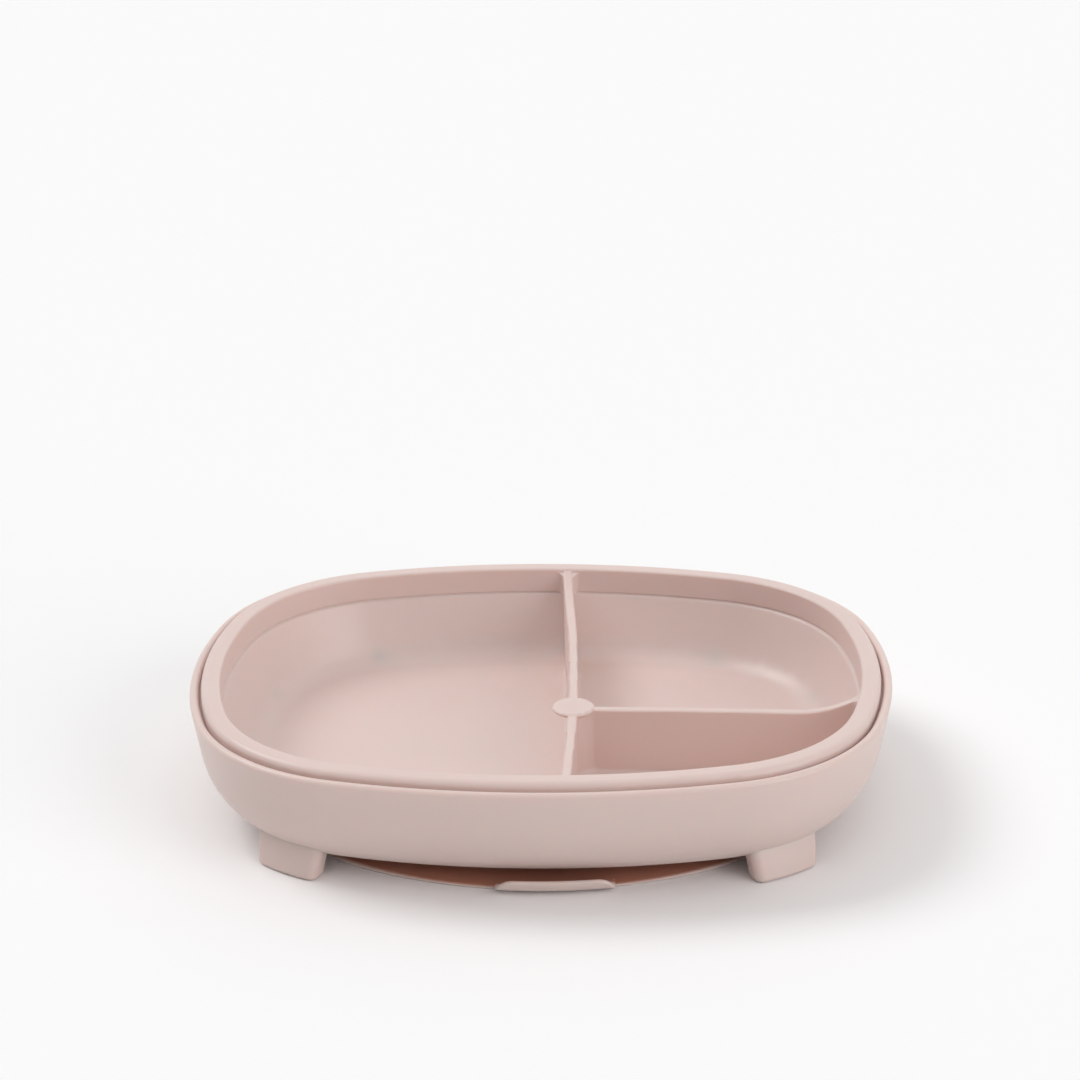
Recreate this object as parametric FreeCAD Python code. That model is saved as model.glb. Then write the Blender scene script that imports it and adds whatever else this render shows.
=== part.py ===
import FreeCAD, Part
import math
import os

# Divided suction plate for a baby: an inner tray with three compartments, nested in an
# outer shell on four corner feet, over a wide suction base with a release tab.
# Millimetres. The table is z = 0, the long side runs along X, the tab faces -Y.

os.makedirs("parts", exist_ok=True)
Vector = FreeCAD.Vector
up = Vector(0, 0, 1)

# heights above the table
rim_height = 40.3
shell_underside_height = 3.8

# plan outline of the tray's rim, measured along its inner edge
half_length = 100.0
half_width = 80.3
side_radius = 228.0
end_radius = 140.0
corner_radius = 52.0

# tray section, offsets outwards from the inner edge of the rim
rim_width = 6.1
rim_outer_round = 2.0
rim_inner_round = 0.8
rim_flange_height = 4.9
tray_neck_offset = 3.4
tray_neck_height = 3.0
tray_wall_thickness = 2.5
upper_wall_height = 7.7
upper_wall_lean = 0.3
ledge_groove = 0.4
ledge_width = 0.8
ledge_chamfer = 0.4
cove_radius = 26.0
hidden_chords = 3
rim_chords = 3
rim_edge_chords = 2

# divider walls and the cap where they meet
divider_thickness = 3.0
divider_drop = 6.3
divider_edge_round = 0.7
divider_sweep_radius = 35.0
divider_sweep_end_drop = 0.7
divider_corner_fillet = 3.0
divider_corner_drop = 0.45
divider_inset = 0.15
side_divider_step = 0.15
divider_foot_fillet = 2.5
divider_foot_sink = 0.05
divider_root = 1.0
hub_corner_fillet = 7.0
divider_end_reach = 1.5
hub_right = 10.4
hub_forward = 18.0
long_divider_front_right = 8.6
long_divider_middle_right = 10.1
long_divider_back_right = 6.4
side_divider_middle_forward = 19.2
side_divider_end_forward = 20.8
hub_radius = 6.6
hub_thickness = 1.4
hub_edge_chamfer = 0.5
hub_rise = 0.4
hub_seam_turn = 45.0

# outer shell section, offsets outwards from the inner edge of the tray's rim
seam_gap = 0.7
lip_drop = 2.2
lip_width = 2.8
lip_chords = 6
shelf_inner_offset = 4.3
shell_wall_thickness = 3.0
shell_draft_angle = 10.4
shell_draft_end_drop = 16.0

# feet at the four corners, angles about the centre of the corner arc
foot_top_height = 13.5
foot_top_offset = -1.6
foot_bottom_offset = 2.2
foot_top_angles = (38.4, 68.6)
foot_bottom_angles = (41.2, 67.8)
foot_thickness = 8.0
foot_side_round = 2.8
foot_sole_chamfer = 0.8

# suction base, a four-arc oval, its end radius against that of an ellipse
base_half_length = 88.35
base_half_width = 76.2
base_end_ratio = 1.0957
base_edge_thickness = 1.3
base_edge_chamfer = 0.4
base_skirt_run = 24.0
base_lip_width = 1.6
base_cavity_depth = 1.6
base_cavity_run = 9.0
stem_radius = 14.0
stem_clearance = 0.25
plug_radius = 17.0
plug_thickness = 1.5
tray_clearance = 1.5

# release tab, an upturned tongue on the front edge of the base
tab_width = 36.5
tab_height = 5.4
tab_end_run = 5.5
tab_turn = 3.2
tab_curl_radius = 6.2
tab_thickness = 1.6
tab_curl_angle = 76.0
tab_root_offset = 0.5
tab_root_run = 2.0
tab_lift = 0.4
tab_edge_chamfer = 0.45

# construction: how far cutting shapes reach past the solids, how far a flat core
# overlaps the swept ring around it, and the tolerance for picking edges
overcut = 5.0
core_overlap = 1.0
tolerance = 0.01


def point(x, z):
    return Vector(x, 0, z)


def circle_arc(centre, radius, start, end):
    return Part.ArcOfCircle(Part.Circle(centre, up, radius), start, end).toShape()


def section_arc(centre, radius, start_degrees, end_degrees):
    # arc in the XZ plane, its angle measured from +X towards +Z
    def at(degrees):
        turn = math.radians(degrees)
        return centre + point(radius * math.cos(turn), radius * math.sin(turn))
    middle_degrees = (start_degrees + end_degrees) / 2
    return Part.Arc(at(start_degrees), at(middle_degrees), at(end_degrees)).toShape()


def chords(centre, radius, start_degrees, end_degrees, count):
    # corner points of an arc made of a few straight cuts, for faces that never show and
    # for rounds too small to tell from true ones
    step = math.radians(end_degrees - start_degrees) / count
    turns = [math.radians(start_degrees) + step * k for k in range(count + 1)]
    return [centre + point(radius * math.cos(turn), radius * math.sin(turn)) for turn in turns]


def chain(*pieces):
    # closed wire through arcs and corner points, with straight lines filling the gaps
    ends = []
    for piece in pieces:
        if isinstance(piece, Part.Shape):
            ends.append((piece.firstVertex().Point, piece.lastVertex().Point))
        else:
            ends.append((piece, piece))
    edges = []
    for index, piece in enumerate(pieces):
        if isinstance(piece, Part.Shape):
            edges.append(piece)
        here = ends[index][1]
        following = ends[(index + 1) % len(pieces)][0]
        if here.distanceToPoint(following) > 1e-6:
            edges.append(Part.makeLine(here, following))
    return Part.Wire(edges)


def arc_ring(arcs, offset, height):
    return Part.Wire([circle_arc(Vector(x, y, height), radius + offset, start, end)
                      for x, y, radius, start, end in arcs])


class RoundedOblong:
    # eight tangent arcs: two ends, two sides and four corners
    def __init__(self, length, width, side, end, corner):
        self.length = length
        self.corner = corner
        side_centre = Vector(0, width - side, 0)
        end_centre = Vector(length - end, 0, 0)
        span = end_centre - side_centre
        along = ((side - corner) ** 2 - (end - corner) ** 2 + span.Length ** 2) / (2 * span.Length)
        across = math.sqrt((side - corner) ** 2 - along ** 2)
        forward = span / span.Length
        corner_centre = side_centre + forward * along + Vector(forward.y, -forward.x, 0) * across
        self.corner_centre = corner_centre
        to_side = corner_centre - side_centre
        to_end = corner_centre - end_centre
        high = math.atan2(to_side.y, to_side.x)
        low = math.atan2(to_end.y, to_end.x)
        half = math.pi
        x, y = corner_centre.x, corner_centre.y
        self.arcs = [
            (end_centre.x, 0, end, -low, low),
            (x, y, corner, low, high),
            (0, side_centre.y, side, high, half - high),
            (-x, y, corner, half - high, half - low),
            (-end_centre.x, 0, end, half - low, half + low),
            (-x, -y, corner, half + low, half + high),
            (0, -side_centre.y, side, half + high, 2 * half - high),
            (x, -y, corner, 2 * half - high, 2 * half - low),
        ]

    def wire(self, offset, height):
        return arc_ring(self.arcs, offset, height)

    def at_side(self, x, reach):
        # point straight out from x, this far beyond the outline at the back
        _, centre_y, radius, _, _ = self.arcs[2]
        return Vector(x, centre_y + math.sqrt(radius ** 2 - x ** 2) + reach, 0)

    def at_end(self, y, reach):
        # point straight out from y, this far beyond the outline at the right
        centre_x, _, radius, _, _ = self.arcs[0]
        return Vector(centre_x + math.sqrt(radius ** 2 - y ** 2) + reach, y, 0)


class FourArcOval:
    # two end arcs, their radius in a ratio to that of an ellipse, and two side arcs
    def __init__(self, length, width, end_ratio):
        self.length = length
        end = end_ratio * width ** 2 / length
        end_x = length - end
        side = (end_x ** 2 + width ** 2 - end ** 2) / (2 * (width - end))
        side_y = width - side
        self.side = side
        spread = side - end
        turn = math.atan2(-side_y / spread, end_x / spread)
        half = math.pi
        self.arcs = [
            (end_x, 0, end, -turn, turn),
            (0, side_y, side, turn, half - turn),
            (-end_x, 0, end, half - turn, half + turn),
            (0, -side_y, side, half + turn, 2 * half - turn),
        ]

    def wire(self, offset, height):
        return arc_ring(self.arcs, offset, height)


def main_solid(shape):
    # the merged body, without the slivers that trimming can leave
    return max(shape.removeSplitter().Solids, key=lambda solid: solid.Volume)


def plate_body(outline, section, section_start, core_bottom, core_top):
    # sweep the section round the outline, then fill its middle with a flat core
    placed = section.translated(Vector(outline.length, 0, 0))
    ring = outline.wire(0, 0).makePipeShell([placed], True, True)
    inside = Part.Face(outline.wire(section_start + core_overlap, core_bottom))
    core = inside.extrude(up * (core_top - core_bottom))
    return main_solid(ring.fuse(core))


oblong = RoundedOblong(half_length, half_width, side_radius, end_radius, corner_radius)
base_oval = FourArcOval(base_half_length, base_half_width, base_end_ratio)

# inner face of the tray: cove, ledge, ledge groove, upper wall, rim edge
over_rim = rim_height + overcut
shell_floor = shell_underside_height + shell_wall_thickness
tray_underside = shell_floor + plug_thickness + tray_clearance
floor_height = tray_underside + tray_wall_thickness
groove_centre = point(-upper_wall_lean, rim_height - upper_wall_height - ledge_groove)
ledge_height = groove_centre.z - ledge_groove
ledge_corner = point(-upper_wall_lean - ledge_width, ledge_height - ledge_chamfer)
cove_lift = math.asin((floor_height + cove_radius - ledge_corner.z) / cove_radius)
cove_centre = point(ledge_corner.x - cove_radius * math.cos(cove_lift), floor_height + cove_radius)
cove_top_angle = -math.degrees(cove_lift)
tray_core = cove_centre.x - 2 * core_overlap
inner_round_centre = point(rim_inner_round, rim_height - rim_inner_round)

cavity_section = chain(
    point(tray_core, over_rim),
    point(tray_core, floor_height),
    section_arc(cove_centre, cove_radius, -90, cove_top_angle),
    ledge_corner + point(ledge_chamfer, ledge_chamfer),
    groove_centre - point(0, ledge_groove),
    groove_centre + point(ledge_groove, 0),
    groove_centre + point(0, ledge_groove),
    *chords(inner_round_centre, rim_inner_round, 180, 90, rim_edge_chords),
    point(rim_inner_round, over_rim),
)
cavity = plate_body(oblong, cavity_section, tray_core, floor_height, over_rim)

# outer face of the tray, its rim flange reaching over the shelf in the shell
flange_underside = rim_height - rim_flange_height
outer_round_centre = point(rim_width - rim_outer_round, rim_height - rim_outer_round)
tray_section = chain(
    point(tray_core, rim_height),
    point(tray_core, tray_underside),
    *chords(cove_centre, cove_radius + tray_wall_thickness, -90, cove_top_angle, hidden_chords),
    point(tray_neck_offset, flange_underside - tray_neck_height),
    point(tray_neck_offset, flange_underside),
    point(rim_width, flange_underside),
    *chords(outer_round_centre, rim_outer_round, 0, 90, rim_chords),
)
tray_block = plate_body(oblong, tray_section, tray_core, tray_underside, rim_height)

# space above the dividers: level in the middle, sweeping up to the rim at the wall
sweep_turn = math.degrees(math.acos(1 - (divider_drop - divider_sweep_end_drop) / divider_sweep_radius))
sweep_run = divider_sweep_radius * math.sin(math.radians(sweep_turn))
sweep_centre = point(-sweep_run, rim_height - divider_drop + divider_sweep_radius)
sweep_end = rim_height - divider_sweep_end_drop
divider_top = rim_height - divider_drop
sweep_core = sweep_centre.x - 2 * core_overlap


def above_dividers(drop):
    ceiling = over_rim + overcut
    section = chain(
        point(sweep_core, ceiling),
        point(sweep_core, divider_top),
        section_arc(sweep_centre, divider_sweep_radius, -90, sweep_turn - 90),
        point(rim_width, sweep_end),
        point(rim_width, ceiling),
    )
    return plate_body(oblong, section, sweep_core, divider_top, ceiling).translated(up * -drop)


def ribbon(start, bend, end, width):
    # plan face of a strip of even width along a gentle arc
    curve = Part.Arc(start, bend, end).toShape().Curve
    centre = curve.Center
    strip = []
    for side in (-0.5, 0.5):
        scale = 1 + side * width / curve.Radius
        strip.append([centre + (place - centre) * scale for place in (start, bend, end)])
    near, far = strip
    outline = chain(Part.Arc(*near).toShape(), Part.Arc(*reversed(far)).toShape())
    return Part.Face(outline)


hub_centre = Vector(hub_right, -hub_forward, 0)
front_end = oblong.at_side(long_divider_front_right, divider_end_reach)
front_end.y = -front_end.y
back_end = oblong.at_side(long_divider_back_right, divider_end_reach)
side_end = oblong.at_end(-side_divider_end_forward, divider_end_reach)
side_start = Vector(long_divider_middle_right, -hub_forward, 0)
side_bend = Vector((side_start.x + side_end.x) / 2, -side_divider_middle_forward, 0)
divider_paths = [
    (front_end, Vector(long_divider_middle_right, 0, 0), back_end),
    (side_start, side_bend, side_end),
]
divider_foot = floor_height - divider_root
divider_reach = over_rim - divider_foot


def upright_strip(path, width):
    return ribbon(*path, width).translated(up * divider_foot).extrude(up * divider_reach)


def level_edges(shape, height):
    return [edge for edge in shape.Edges
            if abs(edge.BoundBox.ZMin - height) < tolerance and edge.BoundBox.ZLength < tolerance]


def upright_edges(shape):
    return [edge for edge in shape.Edges
            if edge.BoundBox.XLength < tolerance and edge.BoundBox.YLength < tolerance]


def from_hub(edge):
    place = edge.BoundBox.Center
    return math.hypot(place.x - hub_centre.x, place.y - hub_centre.y)


def divider(path, drop):
    # a wall along the path, its top following the sweep, both top edges rounded
    wall = upright_strip(path, divider_thickness).cut(above_dividers(drop))
    lowest = divider_top - drop - tolerance
    crest = [edge for edge in wall.Edges
             if edge.BoundBox.ZMin > lowest and edge.Length > 2 * divider_thickness]
    return wall.makeFillet(divider_edge_round, crest)


def divider_flares():
    # body of the dividers with rounded corners at the rim and the hub and a fillet along
    # the feet; a little narrower and lower than the walls, so that it runs into them
    body_thickness = divider_thickness - 2 * divider_inset
    body = Part.Face(oblong.wire(divider_thickness, divider_foot))
    body = body.cut(Part.Face(oblong.wire(0, divider_foot))).extrude(up * divider_reach)
    for path in divider_paths:
        body = body.fuse(upright_strip(path, body_thickness))
    body = body.removeSplitter()
    ends = [front_end, back_end, side_end]
    at_rim = []
    for edge in upright_edges(body):
        place = Vector(edge.BoundBox.Center.x, edge.BoundBox.Center.y, 0)
        if min(place.distanceToPoint(end) for end in ends) < divider_thickness:
            at_rim.append(edge)
    body = body.makeFillet(divider_corner_fillet, at_rim)
    at_hub = [edge for edge in upright_edges(body)
              if from_hub(edge) < hub_radius and edge.BoundBox.Center.x > hub_centre.x]
    body = body.makeFillet(hub_corner_fillet, at_hub)
    slab_top = floor_height - divider_foot_sink
    slab = Part.Face(oblong.wire(divider_thickness / 2, divider_foot))
    slab = slab.extrude(up * (slab_top - divider_foot))
    body = body.fuse(slab).removeSplitter()
    body = body.makeFillet(divider_foot_fillet, level_edges(body, slab_top))
    zone_width = divider_thickness + 2 * divider_corner_fillet
    zones = [upright_strip(path, zone_width) for path in divider_paths]
    hub_foot = hub_centre + up * divider_foot
    hub_zone = Part.makeCylinder(2 * hub_corner_fillet, divider_reach, hub_foot, up)
    body = body.common(hub_zone.multiFuse(zones))
    return body.cut(above_dividers(divider_corner_drop))


# hub cap, a thin disc standing slightly proud of the three walls
cap_top = divider_top + hub_rise
cap = Part.makeCylinder(hub_radius, hub_thickness, hub_centre + up * (cap_top - hub_thickness), up)
cap = cap.makeChamfer(hub_edge_chamfer, [edge for edge in cap.Edges if edge.Closed])
cap = cap.rotated(hub_centre, up, hub_seam_turn)

long_wall = divider(divider_paths[0], 0)
side_wall = divider(divider_paths[1], side_divider_step)
dividers = divider_flares().fuse(long_wall).fuse(side_wall).fuse(cap).common(tray_block)
tray = main_solid(tray_block.cut(cavity).fuse(dividers))
tray.exportStep("parts/divided_tray.step")

# outer shell: lip, shelf, hollow and curved wall
lip_inner = rim_width + seam_gap
lip_centre = point(lip_inner + lip_width / 2, rim_height - lip_drop - lip_width / 2)
draft_height = rim_height - shell_draft_end_drop
draft_slope = math.radians(shell_draft_angle)
draft_offset = lip_inner + lip_width - (lip_centre.z - draft_height) * math.tan(draft_slope)
shell_radius = (draft_height - shell_underside_height) / (1 - math.sin(draft_slope))
shell_centre = point(draft_offset - shell_radius * math.cos(draft_slope),
                     shell_underside_height + shell_radius)
shell_core = shell_centre.x - 2 * core_overlap
over_shelf = flange_underside + overcut

shell_section = chain(
    point(shell_core, flange_underside),
    point(shell_core, shell_underside_height),
    section_arc(shell_centre, shell_radius, -90, -shell_draft_angle),
    *chords(lip_centre, lip_width / 2, 0, 180, lip_chords),
    point(lip_inner, flange_underside),
)
hollow_section = chain(
    point(shell_core, over_shelf),
    point(shell_core, shell_floor),
    *chords(shell_centre, shell_radius - shell_wall_thickness, -90, -shell_draft_angle, hidden_chords),
    point(shelf_inner_offset, flange_underside),
    point(shelf_inner_offset, over_shelf),
)
shell_block = plate_body(oblong, shell_section, shell_core, shell_underside_height, flange_underside)
hollow = plate_body(oblong, hollow_section, shell_core, shell_floor, over_shelf)


def foot_outline(offset, angles, height):
    # sector of a ring about the corner centre, where the foot is cut at this height
    start, end = [math.radians(angle) for angle in angles]
    outer = corner_radius + offset
    outside = circle_arc(oblong.corner_centre + up * height, outer, start, end)
    inside = circle_arc(oblong.corner_centre + up * height, outer - foot_thickness, start, end)
    corners = [edge.Vertexes[k].Point for edge in (outside, inside) for k in (0, -1)]
    return Part.Wire([outside, Part.makeLine(corners[1], corners[3]),
                      inside, Part.makeLine(corners[2], corners[0])])


# a foot leaning outwards to its sole, its two outer corners rounded, then the other three
top = foot_outline(foot_top_offset, foot_top_angles, foot_top_height)
bottom = foot_outline(foot_bottom_offset, foot_bottom_angles, 0)
foot = Part.makeLoft([bottom, top], True, True)
foot_axis = Part.makeLine(oblong.corner_centre, oblong.corner_centre + up * foot_top_height)
foot_corners = [edge for edge in foot.Edges
                if edge.BoundBox.ZLength > foot_top_height - tolerance
                and edge.distToShape(foot_axis)[0] > corner_radius - foot_thickness / 2]
foot = foot.makeFillet(foot_side_round, foot_corners)
foot = foot.makeChamfer(foot_sole_chamfer, level_edges(foot, 0))
across_x = foot.mirror(Vector(0, 0, 0), Vector(1, 0, 0))
front_feet = [shape.mirror(Vector(0, 0, 0), Vector(0, 1, 0)) for shape in (foot, across_x)]
shell = shell_block.multiFuse([foot, across_x] + front_feet).cut(hollow)
stem_hole = Part.makeCylinder(stem_radius + stem_clearance, shell_floor, Vector(0, 0, 0), up)
shell = main_solid(shell.cut(stem_hole))
shell.exportStep("parts/outer_shell.step")

# suction base: a flat disc with a sloping skirt, a shallow cup under it and a plug in the shell
base_core = -base_skirt_run - 2 * core_overlap
skirt_section = chain(
    point(base_core, shell_underside_height),
    point(base_core, base_cavity_depth),
    point(-base_lip_width - base_cavity_run, base_cavity_depth),
    point(-base_lip_width, 0),
    point(-base_edge_chamfer, 0),
    point(0, base_edge_chamfer),
    point(0, base_edge_thickness - base_edge_chamfer),
    point(-base_edge_chamfer, base_edge_thickness),
    point(-base_skirt_run, shell_underside_height),
)
base = plate_body(base_oval, skirt_section, base_core, base_cavity_depth, shell_underside_height)
stem_height = shell_floor + plug_thickness - base_cavity_depth
stem = Part.makeCylinder(stem_radius, stem_height, up * base_cavity_depth, up)
plug = Part.makeCylinder(plug_radius, plug_thickness, up * shell_floor, up)
base = base.fuse(stem).fuse(plug)

# release tab: a curled strip turned about the centre of the front side arc, a little to
# the right of the middle, its two ends cut down to the skirt in a curve
curl_centre = point(-tab_root_offset, tab_lift + tab_curl_radius)
tab_end_angle = tab_curl_angle - 90
tip = tab_thickness / 2
curl_middle = tab_curl_radius - tip
end_turn = math.radians(tab_end_angle)
tip_centre = curl_centre + point(curl_middle * math.cos(end_turn), curl_middle * math.sin(end_turn))
tab_section = chain(
    section_arc(curl_centre, tab_curl_radius, -90, tab_end_angle),
    section_arc(tip_centre, tip, tab_end_angle, tab_end_angle + 180),
    section_arc(curl_centre, tab_curl_radius - tab_thickness, tab_end_angle, -90),
    point(curl_centre.x - tab_root_run, tab_lift + tab_thickness),
    point(curl_centre.x - tab_root_run, tab_lift),
)
half_turn = math.degrees(math.asin(tab_width / base_oval.side))
strip = Part.Face(tab_section.translated(Vector(base_oval.side, 0, 0)))
strip = strip.revolve(Vector(0, 0, 0), up, 2 * half_turn)
strip = strip.rotated(Vector(0, 0, 0), up, -90 - half_turn)
arc_centre = Vector(0, base_oval.side - base_half_width, 0)
strip.translate(arc_centre)
shoulder = base_edge_thickness / 2
front = Vector(0, -base_half_width - 2 * tab_curl_radius, 0)


def tab_end(side):
    # curve down from the tab's top to its end on this side, 1 for right and -1 for left
    rise = tab_height - shoulder
    bend = Vector(side * (tab_width / 2 - tab_end_run * 0.35), 0, shoulder + rise * 0.7)
    foot_end = Vector(side * tab_width / 2, 0, shoulder)
    top_end = Vector(side * (tab_width / 2 - tab_end_run), 0, tab_height)
    return [front + place for place in (foot_end, bend, top_end)]


outline = chain(
    Part.Arc(*tab_end(1)).toShape(),
    Part.Arc(*reversed(tab_end(-1))).toShape(),
    front + Vector(-tab_width / 2, 0, -overcut),
    front + Vector(tab_width / 2, 0, -overcut),
)
tab = strip.common(Part.Face(outline).extrude(Vector(0, 4 * tab_curl_radius, 0)))
tab_rim = [edge for edge in tab.Edges
           if edge.BoundBox.ZMax > tab_lift + tab_thickness + tolerance
           and edge.BoundBox.ZLength > tab_edge_chamfer]
tab = tab.makeChamfer(tab_edge_chamfer, tab_rim)
tab = tab.rotated(arc_centre, up, tab_turn)
base = main_solid(base.fuse(tab))
base.exportStep("parts/suction_base.step")
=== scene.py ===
import math

import bpy
from mathutils import Matrix, Vector


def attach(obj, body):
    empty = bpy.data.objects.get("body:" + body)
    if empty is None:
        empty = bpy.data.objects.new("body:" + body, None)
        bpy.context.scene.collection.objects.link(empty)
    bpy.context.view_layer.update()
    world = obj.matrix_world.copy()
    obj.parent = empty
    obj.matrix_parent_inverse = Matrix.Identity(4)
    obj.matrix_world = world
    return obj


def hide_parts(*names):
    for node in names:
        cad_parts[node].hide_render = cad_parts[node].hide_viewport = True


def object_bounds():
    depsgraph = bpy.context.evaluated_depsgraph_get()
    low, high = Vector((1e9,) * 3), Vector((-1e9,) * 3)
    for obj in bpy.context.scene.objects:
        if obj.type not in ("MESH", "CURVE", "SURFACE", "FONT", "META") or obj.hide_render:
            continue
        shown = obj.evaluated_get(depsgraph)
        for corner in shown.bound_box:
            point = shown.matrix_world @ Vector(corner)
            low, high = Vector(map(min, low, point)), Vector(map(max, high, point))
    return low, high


# Divided suction plate for a baby in matte rose silicone.
# Works in metres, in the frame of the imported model: the release tab faces -Y.

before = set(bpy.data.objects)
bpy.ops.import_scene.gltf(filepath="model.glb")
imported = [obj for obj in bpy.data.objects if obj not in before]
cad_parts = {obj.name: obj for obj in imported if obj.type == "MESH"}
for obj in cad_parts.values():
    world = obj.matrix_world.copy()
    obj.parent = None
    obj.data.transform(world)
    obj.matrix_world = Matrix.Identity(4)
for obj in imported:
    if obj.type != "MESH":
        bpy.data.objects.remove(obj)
cadLow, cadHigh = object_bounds()
print("plate loaded:", ", ".join(sorted(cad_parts)))


def addNode(tree, kind, **settings):
    node = tree.nodes.new(kind)
    for name, value in settings.items():
        setattr(node, name, value)
    return node


def setInputs(node, values):
    for label, value in values.items():
        node.inputs[label].default_value = value


def feed(tree, socket, value):
    # a socket takes a plain value or the output of another node
    if isinstance(value, bpy.types.NodeSocket):
        tree.links.new(value, socket)
    else:
        socket.default_value = value


def calc(tree, operation, *values):
    node = addNode(tree, "ShaderNodeMath", operation=operation)
    for socket, value in zip(node.inputs, values):
        feed(tree, socket, value)
    return node.outputs["Value"]


def mix(tree, start, end, share, kind="FLOAT"):
    # goes from start to end, and on past them where the share does
    node = addNode(tree, "ShaderNodeMix", data_type=kind, clamp_factor=False)
    for label, value in (("A", start), ("B", end), ("Factor", share)):
        feed(tree, node.inputs[label], value)
    return node.outputs["Result"]


def splitAxes(tree, place):
    node = addNode(tree, "ShaderNodeSeparateXYZ")
    tree.links.new(place, node.inputs["Vector"])
    return node.outputs


def addRange(tree, value, low, high, start=0.3, end=0.7):
    # spreads a value between two limits; start and end suit a noise texture
    spread = addNode(tree, "ShaderNodeMapRange")
    setInputs(spread, {"From Min": start, "From Max": end, "To Min": low, "To Max": high})
    tree.links.new(value, spread.inputs["Value"])
    return spread.outputs["Result"]


def addNoise(tree, place, settings):
    noise = addNode(tree, "ShaderNodeTexNoise")
    setInputs(noise, settings)
    tree.links.new(place, noise.inputs["Vector"])
    return noise.outputs["Fac"]


def addBump(tree, height, settings, under=None):
    # turns a height into a normal, on top of another bump where there is one
    bump = addNode(tree, "ShaderNodeBump")
    setInputs(bump, settings)
    tree.links.new(height, bump.inputs["Height"])
    if under is not None:
        tree.links.new(under, bump.inputs["Normal"])
    return bump.outputs["Normal"]


def addPaintedShade(tree, place, colour, look):
    # paints shade onto the skirt: darkens its colour where it climbs under the shell, inside an
    # oval about the middle
    stretch = addNode(tree, "ShaderNodeMapping")
    stretch.inputs["Scale"].default_value = (1 / look["ovalLength"], 1 / look["ovalWidth"], 0)
    tree.links.new(place, stretch.inputs["Vector"])
    reach = addNode(tree, "ShaderNodeVectorMath", operation="LENGTH")
    tree.links.new(stretch.outputs["Vector"], reach.inputs[0])
    inside = addRange(tree, reach.outputs["Value"], 1, 0, look["ovalStart"], look["ovalEnd"])
    facing = splitAxes(tree, addNode(tree, "ShaderNodeNewGeometry").outputs["Normal"])
    upward = addRange(tree, facing["Z"], 0, 1, look["flatStart"], look["flatEnd"])
    paintedShadeShare = calc(tree, "MULTIPLY", inside, upward)
    return mix(tree, colour, (*look["paintedShadeColour"], 1), paintedShadeShare, "RGBA")


def siliconeMaterial(name, look):
    material = bpy.data.materials.new("matte_" + name)
    material.use_nodes = True
    tree = material.node_tree
    shader = tree.nodes["Principled BSDF"]
    place = addNode(tree, "ShaderNodeTexCoord").outputs["Object"]

    clouds = addRange(tree, addNoise(tree, place, look["clouds"]), 0, 1)
    colour = mix(tree, (*look["deepColour"], 1), (*look["paleColour"], 1), clouds, "RGBA")
    # the base's skirt gets painted shade where it lies under the shell
    if "paintedShadeColour" in look:
        colour = addPaintedShade(tree, place, colour, look)
    tree.links.new(colour, shader.inputs["Base Color"])

    haze = addNoise(tree, place, look["haze"])
    gloss = addRange(tree, haze, look["lowRoughness"], look["highRoughness"])
    tree.links.new(gloss, shader.inputs["Roughness"])

    grain = addBump(tree, addNoise(tree, place, look["grain"]), look["grainBump"])
    waves = addBump(tree, addNoise(tree, place, look["waves"]), look["waveBump"], grain)
    tree.links.new(waves, shader.inputs["Normal"])
    setInputs(shader, look["body"])
    return material


# matte silicone, as it comes out of a fine-blasted mould
siliconeLook = {
    "paleColour": (0.775, 0.613, 0.568),
    "deepColour": (0.755, 0.593, 0.548),
    "clouds": {"Scale": 14, "Detail": 3},
    "haze": {"Scale": 60, "Detail": 4},
    "lowRoughness": 0.38,
    "highRoughness": 0.46,
    "grain": {"Scale": 3200, "Detail": 2, "Roughness": 0.6},
    "grainBump": {"Strength": 0.25, "Distance": 0.00004},
    "waves": {"Scale": 90, "Detail": 2},
    "waveBump": {"Strength": 0.12, "Distance": 0.0002},
    "body": {
        "IOR": 1.41,
        "Specular IOR Level": 1.0,
        "Subsurface Weight": 0.3,
        "Subsurface Radius": (1.0, 0.5, 0.35),
        "Subsurface Scale": 0.004,
        "Sheen Weight": 0.10,  # a powdery bloom
        "Sheen Roughness": 0.5,
    },
}

# the base is painted a little paler than the tray, painted light that keeps its tab bright in the
# shell's shade, and its skirt gets painted shade, a deeper rose where it lies under the shell
baseLook = {
    **siliconeLook,
    # painted light: paler than the tray, so the tab in the shell's shade reads bright
    "paleColour": (0.820, 0.665, 0.620),
    "deepColour": (0.800, 0.645, 0.600),
    # painted shade: a deeper rose where the skirt lies under the shell
    "paintedShadeColour": (0.46, 0.20, 0.13),
    "ovalLength": 0.0884,  # half the length and width of the oval
    "ovalWidth": 0.0762,
    "ovalStart": 0.995,  # where the shade fades out, as a share of the oval
    "ovalEnd": 1.015,
    "flatStart": 0.1,  # how far a face has to look up
    "flatEnd": 0.4,
}
slots = {"divided_tray": "tray_silicone", "outer_shell": "shell_silicone",
         "suction_base": "base_silicone"}
looks = {"divided_tray": siliconeLook, "outer_shell": siliconeLook, "suction_base": baseLook}
finishes = {nodeName: siliconeMaterial(slots[nodeName], looks[nodeName]) for nodeName in slots}
print("silicone finishes ready")


def newTree(name, inputs):
    # a geometry tree with its geometry socket and its named inputs
    tree = bpy.data.node_groups.new(name, "GeometryNodeTree")
    tree.interface.new_socket("Geometry", in_out="INPUT", socket_type="NodeSocketGeometry")
    for label, kind in inputs.items():
        tree.interface.new_socket(label, in_out="INPUT", socket_type="NodeSocket" + kind)
    tree.interface.new_socket("Geometry", in_out="OUTPUT", socket_type="NodeSocketGeometry")
    return tree, addNode(tree, "NodeGroupInput"), addNode(tree, "NodeGroupOutput")


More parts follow.
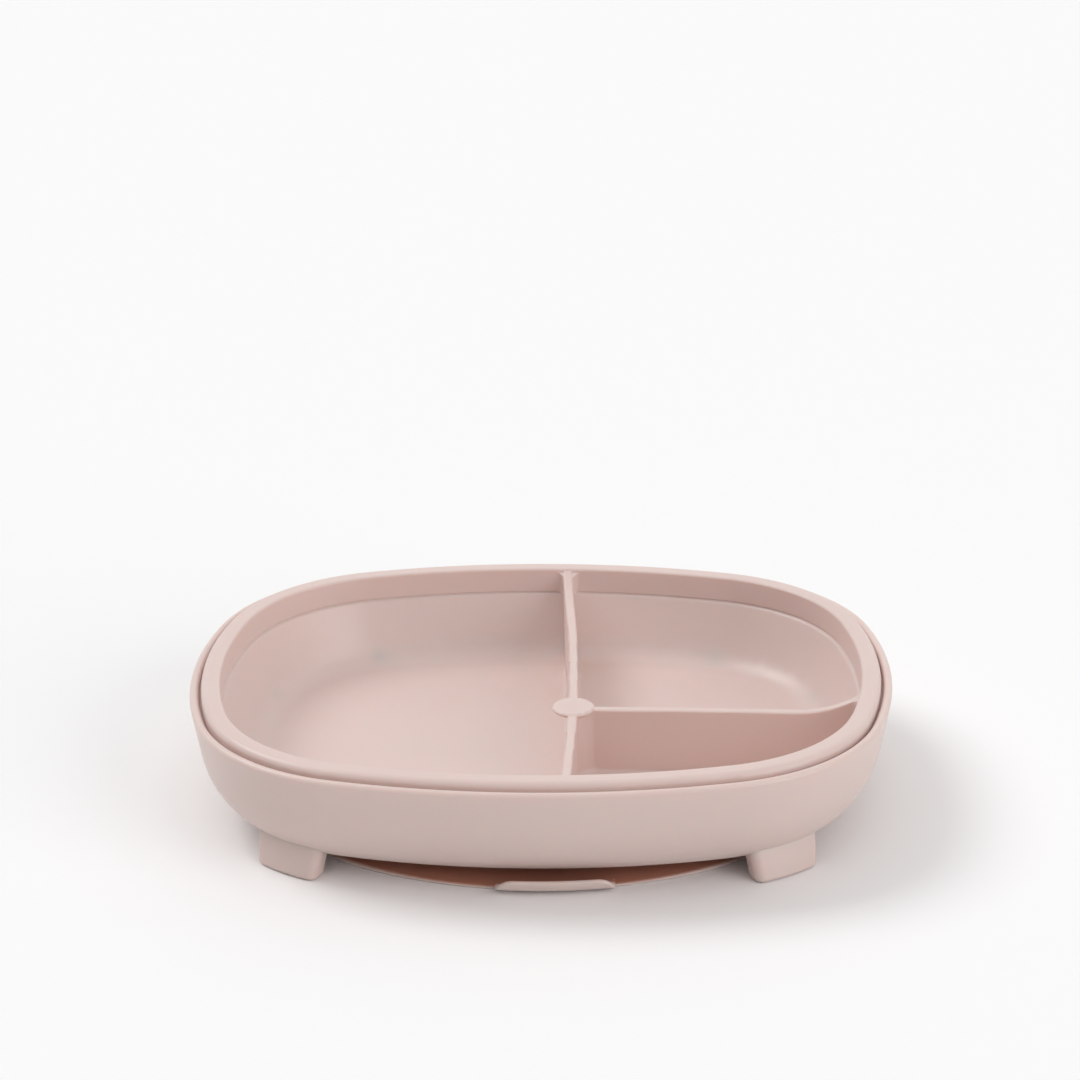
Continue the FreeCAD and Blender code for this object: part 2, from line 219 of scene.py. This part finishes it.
def finishTree(tree, geometry, source, result):
    realize = addNode(tree, "GeometryNodeRealizeInstances")
    finish = addNode(tree, "GeometryNodeSetMaterial")
    tree.links.new(geometry, realize.inputs["Geometry"])
    tree.links.new(realize.outputs["Geometry"], finish.inputs["Geometry"])
    tree.links.new(source.outputs["Finish"], finish.inputs["Material"])
    tree.links.new(finish.outputs["Geometry"], result.inputs["Geometry"])


def grow(name, data, *steps):
    # runs trees on some geometry, one after another, and keeps the outcome as a plain mesh
    seed = bpy.data.objects.new(name + "_seed", data)
    bpy.context.collection.objects.link(seed)
    for tree, values in steps:
        modifier = seed.modifiers.new(tree.name, "NODES")
        modifier.node_group = tree
        for socket in tree.interface.items_tree:
            if socket.in_out == "INPUT" and socket.name in values:
                modifier[socket.identifier] = values[socket.name]
    ready = seed.evaluated_get(bpy.context.evaluated_depsgraph_get())
    mesh = bpy.data.meshes.new_from_object(ready)
    bpy.data.objects.remove(seed)
    mesh.name = name
    finish = mesh.materials[-1]
    mesh.materials.clear()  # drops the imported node's own material
    mesh.materials.append(finish)
    piece = bpy.data.objects.new(name, mesh)
    bpy.context.collection.objects.link(piece)
    return piece


def softEdgeTree():
    # merges loose triangles and shades them smooth, apart from edges sharper than an angle
    tree, source, result = newTree("softEdges", {
        "Merge Distance": "Float", "Sharp Angle": "Float", "Finish": "Material"})
    merge = addNode(tree, "GeometryNodeMergeByDistance")
    faces = addNode(tree, "GeometryNodeSetShadeSmooth", domain="FACE")
    edges = addNode(tree, "GeometryNodeSetShadeSmooth", domain="EDGE")
    angle = addNode(tree, "GeometryNodeInputMeshEdgeAngle")
    soft = addNode(tree, "FunctionNodeCompare", data_type="FLOAT", operation="LESS_THAN")
    tree.links.new(source.outputs["Geometry"], merge.inputs["Geometry"])
    tree.links.new(source.outputs["Merge Distance"], merge.inputs["Distance"])
    tree.links.new(merge.outputs["Geometry"], faces.inputs["Geometry"])
    tree.links.new(faces.outputs["Geometry"], edges.inputs["Geometry"])
    tree.links.new(angle.outputs["Unsigned Angle"], soft.inputs["A"])
    tree.links.new(source.outputs["Sharp Angle"], soft.inputs["B"])
    tree.links.new(soft.outputs["Result"], edges.inputs["Shade Smooth"])
    finishTree(tree, edges.outputs["Geometry"], source, result)
    return tree


softEdges = {"mergeDistance": 0.00002, "sharpAngle": 52}  # metres and degrees
softTree = softEdgeTree()


def softValues(nodeName):
    return {"Merge Distance": softEdges["mergeDistance"], "Finish": finishes[nodeName],
            "Sharp Angle": math.radians(softEdges["sharpAngle"])}


def standIn(piece, nodeName):
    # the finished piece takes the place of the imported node
    even = piece.modifiers.new("even_shading", "WEIGHTED_NORMAL")
    even.keep_sharp = True
    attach(piece, "root")
    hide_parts(nodeName)
    print(piece.name, "stands in for", nodeName, "with", len(piece.data.polygons), "faces")


# plan outline of the rim's inner edge: two end arcs, two side arcs and four corner arcs
outline = {
    "halfLength": 0.100,
    "halfWidth": 0.0803,
    "sideRadius": 0.228,
    "endRadius": 0.140,
    "cornerRadius": 0.052,
    "pointSpacing": 0.0025,
}


def outlineArcs(plan):
    # centre, radius and limits of the three arcs of one quarter, from the end to the side
    side, end, corner = plan["sideRadius"], plan["endRadius"], plan["cornerRadius"]
    sideCentre = Vector((0, plan["halfWidth"] - side))
    endCentre = Vector((plan["halfLength"] - end, 0))
    span = endCentre - sideCentre
    along = ((side - corner) ** 2 - (end - corner) ** 2 + span.length_squared) / (2 * span.length)
    across = math.sqrt((side - corner) ** 2 - along ** 2)
    forward = span.normalized()
    cornerCentre = sideCentre + forward * along + Vector((forward.y, -forward.x)) * across
    low = math.atan2(*reversed(cornerCentre - endCentre))
    high = math.atan2(*reversed(cornerCentre - sideCentre))
    return [(endCentre, end, 0, low), (cornerCentre, corner, low, high),
            (sideCentre, side, high, math.pi / 2)]


def insetFrom(plan, x, y):
    # how far a place lies inwards from the outline
    place = Vector((abs(x), abs(y)))
    for centre, radius, start, stop in outlineArcs(plan):
        arm = place - centre
        if start <= math.atan2(arm.y, arm.x) <= stop:
            return radius - arm.length
    return plan["halfWidth"]  # near the middle, past every arc's centre


# below the ledge the compartments' walls run straight and turn into the floor in a tight curve
coves = {
    "ledgeInset": 0.0011,
    "ledgeHeight": 0.0314,
    "floorHeight": 0.0123,
    "packedRadius": 0.026,
    "wallLean": 66,  # degrees from the floor
    "turnRadius": 0.010,
    "fadeHeight": 0.008,
}


def packedCove(inset):
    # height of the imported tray's wall and floor at a distance inwards from the outline
    radius = coves["packedRadius"]
    rise = radius + coves["floorHeight"] - coves["ledgeHeight"]
    centre = coves["ledgeInset"] + math.sqrt(radius ** 2 - rise ** 2)
    return coves["floorHeight"] + radius - math.sqrt(radius ** 2 - max(0, centre - inset) ** 2)


def tightCove(inset):
    # height of the straighter wall, its turn and the floor at the same distance
    lean, radius = math.radians(coves["wallLean"]), coves["turnRadius"]
    drop = coves["ledgeHeight"] - coves["floorHeight"]
    floorStart = coves["ledgeInset"] + drop / math.tan(lean) + radius * math.tan(lean / 2)
    if inset < floorStart - radius * math.sin(lean):
        return coves["ledgeHeight"] - (inset - coves["ledgeInset"]) * math.tan(lean)
    return coves["floorHeight"] + radius - math.sqrt(radius ** 2 - max(0, floorStart - inset) ** 2)


def tightenCoves(mesh):
    # moves wall and underside together; higher up, on the dividers, the move fades smoothly out
    for vertex in mesh.vertices:
        place = vertex.co
        if place.z > coves["ledgeHeight"] + coves["fadeHeight"]:
            continue
        inset = insetFrom(outline, place.x, place.y)
        if inset < coves["ledgeInset"]:
            continue
        fade = min(1, max(0, place.z - packedCove(inset)) / coves["fadeHeight"])
        place.z += (tightCove(inset) - packedCove(inset)) * (1 - fade * fade * (3 - 2 * fade))


def softCopy(nodeName, reshape=None):
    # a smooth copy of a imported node
    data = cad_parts[nodeName].data.copy()
    if reshape:
        reshape(data)
    standIn(grow("soft_" + nodeName, data, (softTree, softValues(nodeName))), nodeName)


softCopy("divided_tray", tightenCoves)
softCopy("suction_base")


def outlineCurve(plan):
    # the closed outline, one quarter worked out and the others mirrored from it
    quarter = []
    for centre, radius, start, stop in outlineArcs(plan):
        count = math.ceil(radius * (stop - start) / plan["pointSpacing"])
        for step in range(count):
            turn = start + (stop - start) * step / count
            quarter.append(centre + radius * Vector((math.cos(turn), math.sin(turn))))
    top = Vector((0, plan["halfWidth"]))
    half = quarter + [top] + [Vector((-place.x, place.y)) for place in reversed(quarter)]
    loop = half + [-place for place in half[1:-1]]
    curve = bpy.data.curves.new("rim_outline", "CURVE")
    curve.dimensions = "3D"
    spline = curve.splines.new("POLY")
    spline.points.add(len(loop) - 1)
    for point, place in zip(spline.points, loop):
        point.co = (place.x, place.y, 0, 1)
    spline.use_cyclic_u = True
    return curve


def vector(tree, *parts):
    node = addNode(tree, "ShaderNodeCombineXYZ")
    for socket, value in zip(node.inputs, parts):
        feed(tree, socket, value)
    return node.outputs["Vector"]


def moved(tree, geometry, place):
    node = addNode(tree, "GeometryNodeTransform")
    tree.links.new(geometry, node.inputs["Geometry"])
    tree.links.new(place, node.inputs["Translation"])
    return node.outputs["Geometry"]


def arcPiece(tree, radius, start, sweep, centre, steps):
    arc = addNode(tree, "GeometryNodeCurveArc", mode="RADIUS")
    labels = ("Radius", "Start Angle", "Sweep Angle", "Resolution")
    for label, value in zip(labels, (radius, start, sweep, steps)):
        feed(tree, arc.inputs[label], value)
    return moved(tree, arc.outputs["Curve"], centre)


def linePiece(tree, start, end):
    line = addNode(tree, "GeometryNodeCurvePrimitiveLine")
    tree.links.new(start, line.inputs["Start"])
    tree.links.new(end, line.inputs["End"])
    return line.outputs["Curve"]


def joined(tree, *pieces):
    node = addNode(tree, "GeometryNodeJoinGeometry")
    for piece in reversed(pieces):
        tree.links.new(piece, node.inputs["Geometry"])
    return node.outputs["Geometry"]


def flipped(tree, geometry):
    node = addNode(tree, "GeometryNodeFlipFaces")
    tree.links.new(geometry, node.inputs["Mesh"])
    return node.outputs["Mesh"]


def swept(tree, path, profile):
    # a profile is drawn with Y up, but the sweep turns its Y down
    upright = addNode(tree, "GeometryNodeTransform")
    upright.inputs["Scale"].default_value = (1, -1, 1)
    tree.links.new(profile, upright.inputs["Geometry"])
    node = addNode(tree, "GeometryNodeCurveToMesh")
    tree.links.new(path, node.inputs["Curve"])
    tree.links.new(upright.outputs["Geometry"], node.inputs["Profile Curve"])
    return flipped(tree, node.outputs["Mesh"])


def shifted(tree, curve, offset):
    # the curve moved sideways along its own normals
    normal = addNode(tree, "GeometryNodeInputNormal")
    scaled = addNode(tree, "ShaderNodeVectorMath", operation="SCALE")
    tree.links.new(normal.outputs["Normal"], scaled.inputs["Vector"])
    tree.links.new(offset, scaled.inputs["Scale"])
    node = addNode(tree, "GeometryNodeSetPosition")
    tree.links.new(curve, node.inputs["Geometry"])
    tree.links.new(scaled.outputs["Vector"], node.inputs["Offset"])
    return node.outputs["Geometry"]


def filled(tree, curve):
    node = addNode(tree, "GeometryNodeFillCurve")
    tree.links.new(curve, node.inputs["Curve"])
    return node.outputs["Mesh"]


def mirrored(tree, geometry, scale):
    # the geometry and its mirror image together
    node = addNode(tree, "GeometryNodeTransform")
    tree.links.new(geometry, node.inputs["Geometry"])
    node.inputs["Scale"].default_value = scale
    return joined(tree, geometry, flipped(tree, node.outputs["Geometry"]))


def footBlock(tree, value, length, steps):
    # a straight foot, its length along X, with round corners and a round edge to its sole
    block = addNode(tree, "GeometryNodeCurvePrimitiveQuadrilateral", mode="RECTANGLE")
    tree.links.new(length, block.inputs["Width"])
    tree.links.new(value["Foot Thickness"], block.inputs["Height"])
    fillet = addNode(tree, "GeometryNodeFilletCurve", mode="POLY")
    setInputs(fillet, {"Count": steps["footRoundSteps"], "Limit Radius": True})
    tree.links.new(block.outputs["Curve"], fillet.inputs["Curve"])
    tree.links.new(value["Foot Round"], fillet.inputs["Radius"])
    even = addNode(tree, "GeometryNodeResampleCurve", mode="COUNT")
    even.inputs["Count"].default_value = steps["footPoints"]
    tree.links.new(fillet.outputs["Curve"], even.inputs["Curve"])
    loop = even.outputs["Curve"]

    soleRound = value["Sole Round"]
    soleIn = calc(tree, "MULTIPLY", soleRound, -1)
    soleCentre = vector(tree, soleIn, soleRound, 0)
    sideFoot = vector(tree, 0, soleRound, 0)
    sideTop = vector(tree, 0, value["Lean Height"], 0)
    side = joined(
        tree,
        arcPiece(tree, soleRound, -math.pi / 2, math.pi / 2, soleCentre, steps["soleSteps"]),
        linePiece(tree, sideFoot, sideTop),
    )
    sole = flipped(tree, filled(tree, shifted(tree, loop, soleIn)))
    top = moved(tree, filled(tree, loop), vector(tree, 0, 0, value["Lean Height"]))
    return joined(tree, swept(tree, loop, side), sole, top)


def cornerFeet(tree, value, steps):
    # the foot bent round the corner's centre and leaning outwards, once in each corner
    soleReach = calc(tree, "ADD", value["Corner Radius"], value["Sole Offset"])
    soleSpan = calc(tree, "SUBTRACT", value["Sole End"], value["Sole Start"])
    length = calc(tree, "MULTIPLY", soleReach, soleSpan)

    # each place as a share of the block's length, thickness and height
    place = splitAxes(tree, addNode(tree, "GeometryNodeInputPosition").outputs["Position"])
    along = calc(tree, "SUBTRACT", 0.5, calc(tree, "DIVIDE", place["X"], length))
    depth = calc(tree, "DIVIDE", place["Y"], value["Foot Thickness"])
    across = calc(tree, "ADD", 0.5, depth)
    lift = calc(tree, "DIVIDE", place["Z"], value["Lean Height"])

    fullHeight = mix(tree, value["Inner Height"], value["Outer Height"], across)
    height = calc(tree, "MULTIPLY", lift, fullHeight)
    lean = calc(tree, "DIVIDE", height, value["Lean Height"])
    soleTurn = mix(tree, value["Sole Start"], value["Sole End"], along)
    topTurn = mix(tree, value["Top Start"], value["Top End"], along)
    turn = mix(tree, soleTurn, topTurn, lean)
    inward = calc(tree, "SUBTRACT", 1, across)
    inset = calc(tree, "MULTIPLY", inward, value["Foot Thickness"])
    offset = mix(tree, value["Sole Offset"], value["Top Offset"], lean)
    reach = calc(tree, "SUBTRACT", calc(tree, "ADD", value["Corner Radius"], offset), inset)
    bentX = calc(tree, "MULTIPLY", reach, calc(tree, "COSINE", turn))
    bentY = calc(tree, "MULTIPLY", reach, calc(tree, "SINE", turn))
    bend = addNode(tree, "GeometryNodeSetPosition")
    tree.links.new(footBlock(tree, value, length, steps), bend.inputs["Geometry"])
    tree.links.new(vector(tree, bentX, bentY, height), bend.inputs["Position"])
    foot = moved(tree, bend.outputs["Geometry"], value["Corner Centre"])
    return mirrored(tree, mirrored(tree, foot, (-1, 1, 1)), (1, -1, 1))


def shellSection(tree, value, steps):
    # one side of the shell cut through, its X outwards from the rim outline and its Y up;
    # it starts and ends in the floor, whose inner edge and upper side are returned too
    lipRadius = calc(tree, "DIVIDE", value["Lip Width"], 2)
    lipX = calc(tree, "ADD", value["Lip Offset"], lipRadius)
    lipOuter = calc(tree, "ADD", lipX, lipRadius)
    lipTop = calc(tree, "SUBTRACT", value["Rim Height"], value["Lip Drop"])
    lipZ = calc(tree, "SUBTRACT", lipTop, lipRadius)
    shelfZ = calc(tree, "SUBTRACT", value["Rim Height"], value["Shelf Drop"])
    shelfOuter = vector(tree, value["Lip Offset"], shelfZ, 0)
    shelfInner = vector(tree, value["Shelf Offset"], shelfZ, 0)

    draft = value["Draft Angle"]
    draftRise = calc(tree, "SUBTRACT", lipZ, value["Draft Height"])
    draftIn = calc(tree, "MULTIPLY", draftRise, calc(tree, "TANGENT", draft))
    draftX = calc(tree, "SUBTRACT", lipOuter, draftIn)
    rise = calc(tree, "SUBTRACT", value["Draft Height"], value["Underside Height"])
    radius = calc(tree, "DIVIDE", rise, calc(tree, "SUBTRACT", 1, calc(tree, "SINE", draft)))
    reach = calc(tree, "MULTIPLY", radius, calc(tree, "COSINE", draft))
    wallX = calc(tree, "SUBTRACT", draftX, reach)
    wallZ = calc(tree, "ADD", value["Underside Height"], radius)
    wallCentre = vector(tree, wallX, wallZ, 0)
    sweep = calc(tree, "SUBTRACT", math.pi / 2, draft)

    inner = calc(tree, "SUBTRACT", radius, value["Wall Thickness"])
    innerStart = calc(tree, "MULTIPLY", draft, -1)
    innerSweep = calc(tree, "MULTIPLY", sweep, -1)
    innerReach = calc(tree, "MULTIPLY", inner, calc(tree, "COSINE", innerStart))
    innerDrop = calc(tree, "MULTIPLY", inner, calc(tree, "SINE", innerStart))
    innerX = calc(tree, "ADD", wallX, innerReach)
    innerZ = calc(tree, "ADD", wallZ, innerDrop)
    floorX = calc(tree, "SUBTRACT", wallX, value["Floor Overlap"])
    floorZ = calc(tree, "ADD", value["Underside Height"], value["Wall Thickness"])
    section = joined(
        tree,
        linePiece(tree, vector(tree, floorX, value["Underside Height"], 0),
                  vector(tree, wallX, value["Underside Height"], 0)),
        arcPiece(tree, radius, -math.pi / 2, sweep, wallCentre, steps["wallSteps"]),
        linePiece(tree, vector(tree, draftX, value["Draft Height"], 0),
                  vector(tree, lipOuter, lipZ, 0)),
        arcPiece(tree, lipRadius, 0, math.pi, vector(tree, lipX, lipZ, 0), steps["lipSteps"]),
        linePiece(tree, vector(tree, value["Lip Offset"], lipZ, 0), shelfOuter),
        linePiece(tree, shelfOuter, shelfInner),
        linePiece(tree, shelfInner, vector(tree, innerX, innerZ, 0)),
        arcPiece(tree, inner, innerStart, innerSweep, wallCentre, steps["hollowSteps"]),
        linePiece(tree, vector(tree, wallX, floorZ, 0), vector(tree, floorX, floorZ, 0)),
    )
    return section, floorX, floorZ


def shellTree(sizes, steps):
    # sweeps the shell's section round the rim outline, closes its pierced floor, adds feet
    kinds = {bpy.types.Material: "Material", Vector: "Vector"}
    tree, source, result = newTree("nestedShell", {
        label: kinds.get(type(size), "Float") for label, size in sizes.items()})
    value = source.outputs
    section, floorX, floorZ = shellSection(tree, value, steps)
    ring = swept(tree, value["Geometry"], section)
    floorEdge = shifted(tree, value["Geometry"], floorX)
    hole = addNode(tree, "GeometryNodeCurvePrimitiveCircle", mode="RADIUS")
    hole.inputs["Resolution"].default_value = steps["holeSteps"]
    tree.links.new(value["Hole Radius"], hole.inputs["Radius"])
    plate = filled(tree, joined(tree, floorEdge, hole.outputs["Curve"]))
    floorTop = moved(tree, plate, vector(tree, 0, 0, floorZ))
    underside = vector(tree, 0, 0, value["Underside Height"])
    floorBottom = moved(tree, flipped(tree, plate), underside)
    holeSide = linePiece(tree, vector(tree, 0, floorZ, 0),
                         vector(tree, 0, value["Underside Height"], 0))
    holeWall = swept(tree, hole.outputs["Curve"], holeSide)
    feet = cornerFeet(tree, value, steps)
    merge = addNode(tree, "GeometryNodeMergeByDistance")
    shell = joined(tree, ring, floorTop, floorBottom, holeWall, feet)
    tree.links.new(shell, merge.inputs["Geometry"])
    tree.links.new(value["Merge Distance"], merge.inputs["Distance"])
    finishTree(tree, merge.outputs["Geometry"], source, result)
    return tree


# offsets count outwards from the rim outline, and angles of a foot from the corner's centre
shellSizes = {
    "Rim Height": 0.0403,
    "Lip Drop": 0.0022,
    "Lip Width": 0.0028,
    "Lip Offset": 0.0068,
    "Draft Angle": math.radians(10.4),
    "Draft Height": 0.0243,
    "Underside Height": 0.0038,
    "Wall Thickness": 0.003,
    "Shelf Drop": 0.0049,
    "Shelf Offset": 0.0043,
    "Floor Overlap": 0.002,
    "Hole Radius": 0.01425,
    "Corner Radius": outline["cornerRadius"],
    "Corner Centre": outlineArcs(outline)[1][0].to_3d(),
    "Foot Thickness": 0.008,
    "Foot Round": 0.0028,
    "Sole Round": 0.002,
    "Sole Offset": 0.0022,
    "Top Offset": -0.0016,
    "Lean Height": 0.0135,
    "Outer Height": 0.0106,
    "Inner Height": 0.0070,
    "Sole Start": math.radians(41.9),
    "Sole End": math.radians(66.6),
    "Top Start": math.radians(37.5),
    "Top End": math.radians(68.6),
    "Merge Distance": softEdges["mergeDistance"],
    "Finish": finishes["outer_shell"],
}
shellSteps = {"wallSteps": 26, "lipSteps": 15, "hollowSteps": 14, "holeSteps": 64,
              "footRoundSteps": 24, "footPoints": 144, "soleSteps": 5}
standIn(grow("nested_shell", outlineCurve(outline), (shellTree(shellSizes, shellSteps), shellSizes),
             (softTree, softValues("outer_shell"))), "outer_shell")

# table and studio
studio = {
    "floorSize": 30,
    "floorRoughness": 0.9,
    "floorColour": (0.90, 0.90, 0.90),  # lights the plate from below
    "shownFloor": (1.0, 1.0, 1.0),
    "skyTop": 0.76,  # strength straight above
    "skySide": 0.0,  # strength at the horizon
    "skyBack": 0.40,  # added towards the back
    "shownSky": 0.947,
    "boxes": {
        # spread in degrees; from is a direction
        "key_box": {"strength": 1.05, "spread": 30, "from": (-0.60, 0.25, 0.76)},
        "front_box": {"strength": 0.95, "spread": 45, "from": (0.82, -0.56, 0.39)},
    },
}


def seenRays(tree):
    # 1 for rays that show the studio itself, straight, in a reflection or through glass
    rays = addNode(tree, "ShaderNodeLightPath").outputs
    reflected = calc(tree, "MAXIMUM", rays["Is Glossy Ray"], rays["Is Transmission Ray"])
    return calc(tree, "MAXIMUM", rays["Is Camera Ray"], reflected)


def makeFloor():
    bpy.ops.mesh.primitive_plane_add(size=studio["floorSize"])
    floor = bpy.context.object
    floor.name = "table"
    material = bpy.data.materials.new("pale_table")
    material.use_nodes = True
    tree = material.node_tree
    shader = tree.nodes["Principled BSDF"]
    setInputs(shader, {"Roughness": studio["floorRoughness"], "Specular IOR Level": 0})
    lit, shown = (*studio["floorColour"], 1), (*studio["shownFloor"], 1)
    tree.links.new(mix(tree, lit, shown, seenRays(tree), "RGBA"), shader.inputs["Base Color"])
    floor.data.materials.append(material)


def makeSky():
    # a dome that brightens upwards and to the back, and an even backdrop where it is seen
    world = bpy.data.worlds.new("studio_sky")
    bpy.context.scene.world = world
    world.use_nodes = True
    tree = world.node_tree
    background = tree.nodes["Background"]
    background.inputs["Color"].default_value = (1, 1, 1, 1)
    direction = splitAxes(tree, addNode(tree, "ShaderNodeTexCoord").outputs["Generated"])
    dome = addRange(tree, direction["Z"], studio["skySide"], studio["skyTop"], 0, 1)
    glow = addRange(tree, direction["Y"], 0, studio["skyBack"], 0, 1)
    level = mix(tree, calc(tree, "ADD", dome, glow), studio["shownSky"], seenRays(tree))
    tree.links.new(level, background.inputs["Strength"])


def makeBox(name, box):
    # a far soft box, so that it lights the whole table evenly
    lamp = bpy.data.lights.new(name, "SUN")
    lamp.energy = box["strength"]
    lamp.angle = math.radians(box["spread"])
    holder = bpy.data.objects.new(name, lamp)
    holder.rotation_mode = "QUATERNION"
    holder.rotation_quaternion = Vector(box["from"]).to_track_quat("Z", "Y")
    bpy.context.collection.objects.link(holder)


makeFloor()
makeSky()
for name, box in studio["boxes"].items():
    makeBox(name, box)
print("studio ready")

# camera, aimed a little above the plate as in the photograph
cameraView = {
    "lens": 123.6,  # millimetres, as the sensor
    "sensorWidth": 36,
    "distance": 1.162,
    "elevation": 23.5,  # degrees, as the angles below
    "turn": 1.82,
    "tilt": 1.93,
    "roll": -0.52,
}


def makeCamera():
    camera = bpy.data.objects.new("camera", bpy.data.cameras.new("camera"))
    bpy.context.collection.objects.link(camera)
    camera.data.lens = cameraView["lens"]
    camera.data.sensor_width = cameraView["sensorWidth"]
    target = Vector((0, 0, cadHigh.z))
    elevation, turn = math.radians(cameraView["elevation"]), math.radians(cameraView["turn"])
    back = Vector((math.sin(turn) * math.cos(elevation), -math.cos(turn) * math.cos(elevation),
                   math.sin(elevation)))
    aim = (-back).to_track_quat("-Z", "Y").to_matrix()
    tilt = Matrix.Rotation(math.radians(cameraView["tilt"]), 3, "X")
    roll = Matrix.Rotation(math.radians(cameraView["roll"]), 3, "Z")
    stand = Matrix.Translation(target + back * cameraView["distance"])
    camera.matrix_world = stand @ (aim @ tilt @ roll).to_4x4()
    bpy.context.scene.camera = camera


makeCamera()

bpy.context.scene.view_settings.view_transform = "Standard"

print("plate finished")
